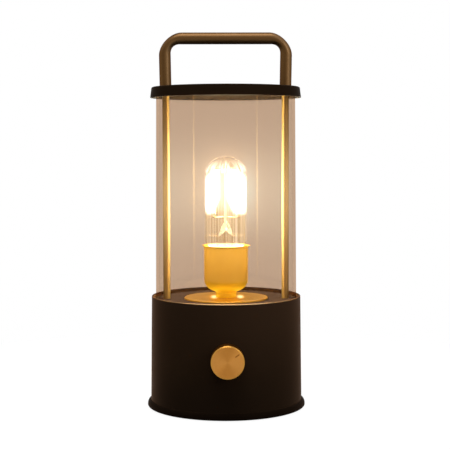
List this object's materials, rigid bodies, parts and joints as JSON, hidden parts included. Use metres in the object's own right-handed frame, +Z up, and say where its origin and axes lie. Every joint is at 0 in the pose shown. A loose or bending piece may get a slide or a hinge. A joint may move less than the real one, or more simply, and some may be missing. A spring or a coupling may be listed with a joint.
{
  "type": "led lantern",
  "caption": "Portable rechargeable table lantern: black drum base with brass dimmer knob, tubular bulb in a brass cup under a bronze-tinted glass chimney, and a fixed brass carrying handle.",
  "frame": {"origin": "centre of the base on the floor, on the underside of the anti-slip pad", "axes": "+Z up along the chimney's axis; -Y to the front, towards the dimmer knob; the handle's bar and the two tie rods lie in the XZ plane"},
  "size_m": [0.1444, 0.1546, 0.3408],
  "materials": {
    "base_paint": "satin black-brown powder coat",
    "foot_plastic": "satin black-brown moulding",
    "deck_black": "satin black-brown moulding",
    "chimney_glass": "clear bronze-tinted glass",
    "brass": "brushed",
    "handle_brass": "antique, hand rubbed",
    "rod_brass": "satin",
    "knob_brass": "circular brushed",
    "seal_rubber": "matt",
    "steel": "zinc plated",
    "ceramic": "glazed ceramic look",
    "bulb_glass": "clear",
    "filament": "lit phosphor",
    "nickel": "plain",
    "insulator_black": "glossy",
    "inner_plastic": "moulded",
    "board_green": "solder mask",
    "cell_wrap": "shrink wrap",
    "lead_red": "insulated wire",
    "lead_yellow": "insulated wire",
    "lead_black": "insulated wire"
  },
  "bodies": {
    "lantern": {"base_housing": "base_paint", "foot_ring": "foot_plastic", "bottom_cover": "inner_plastic", "anti_slip_pad": "seal_rubber", "cover_screws": "steel", "deck_plate": "deck_black", "deck_screws": "steel", "glass_chimney": "chimney_glass", "lower_gasket": "seal_rubber", "upper_gasket": "seal_rubber", "top_cap": "base_paint", "handle": "handle_brass", "handle_bush_left": "brass", "handle_bush_right": "brass", "tie_rod_left": "rod_brass", "tie_rod_right": "rod_brass", "rod_washers": "steel", "rod_nuts": "steel", "brass_disc": "brass", "lampholder_cup": "brass", "lampholder_nipple": "rod_brass", "nipple_nut": "steel", "lampholder_body": "ceramic", "lampholder_shell": "rod_brass", "lampholder_contact": "rod_brass", "dimmer_body": "inner_plastic", "dimmer_washer": "steel", "dimmer_nut": "steel", "battery_cradle": "inner_plastic", "battery_cells": "cell_wrap", "battery_tabs": "nickel", "driver_board": "board_green", "board_standoffs": "rod_brass", "board_screws": "steel", "usb_socket": "steel", "port_bezel": "inner_plastic", "lamp_leads": "lead_red", "dimmer_leads": "lead_yellow", "battery_leads": "lead_black"},
    "dimmer": {"dimmer_knob": "knob_brass", "dimmer_shaft": "steel", "knob_set_screw": "steel"},
    "bulb_tip": {"bulb_contact_tip": "nickel"},
    "bulb": {"bulb_envelope": "bulb_glass", "bulb_stem": "bulb_glass", "bulb_screw_cap": "nickel", "bulb_insulator": "insulator_black", "bulb_driver": "board_green", "led_filaments": "filament", "filament_ferrules": "nickel", "filament_wires": "nickel"}
  },
  "joints": [
    {"name": "dimmer_turn", "type": "hinge", "parent": "lantern", "child": "dimmer", "pos_m": [0, -0.0694, 0.05365], "axis": [0, 1, 0], "range_deg": [-204, 96]},
    {"name": "bulb_rise", "type": "slide", "parent": "lantern", "child": "bulb_tip", "axis": [0, 0, 1], "range_m": [0, 0.0218]},
    {"name": "bulb_turn", "type": "hinge", "parent": "bulb_tip", "child": "bulb", "pos_m": [0, 0, 0.1268], "axis": [0, 0, 1], "range_deg": [0, 2160]}
  ],
  "couplings": [
    {"joint": "bulb_rise", "follows": "bulb_turn", "m_per_rad": 0.00057757}
  ]
}
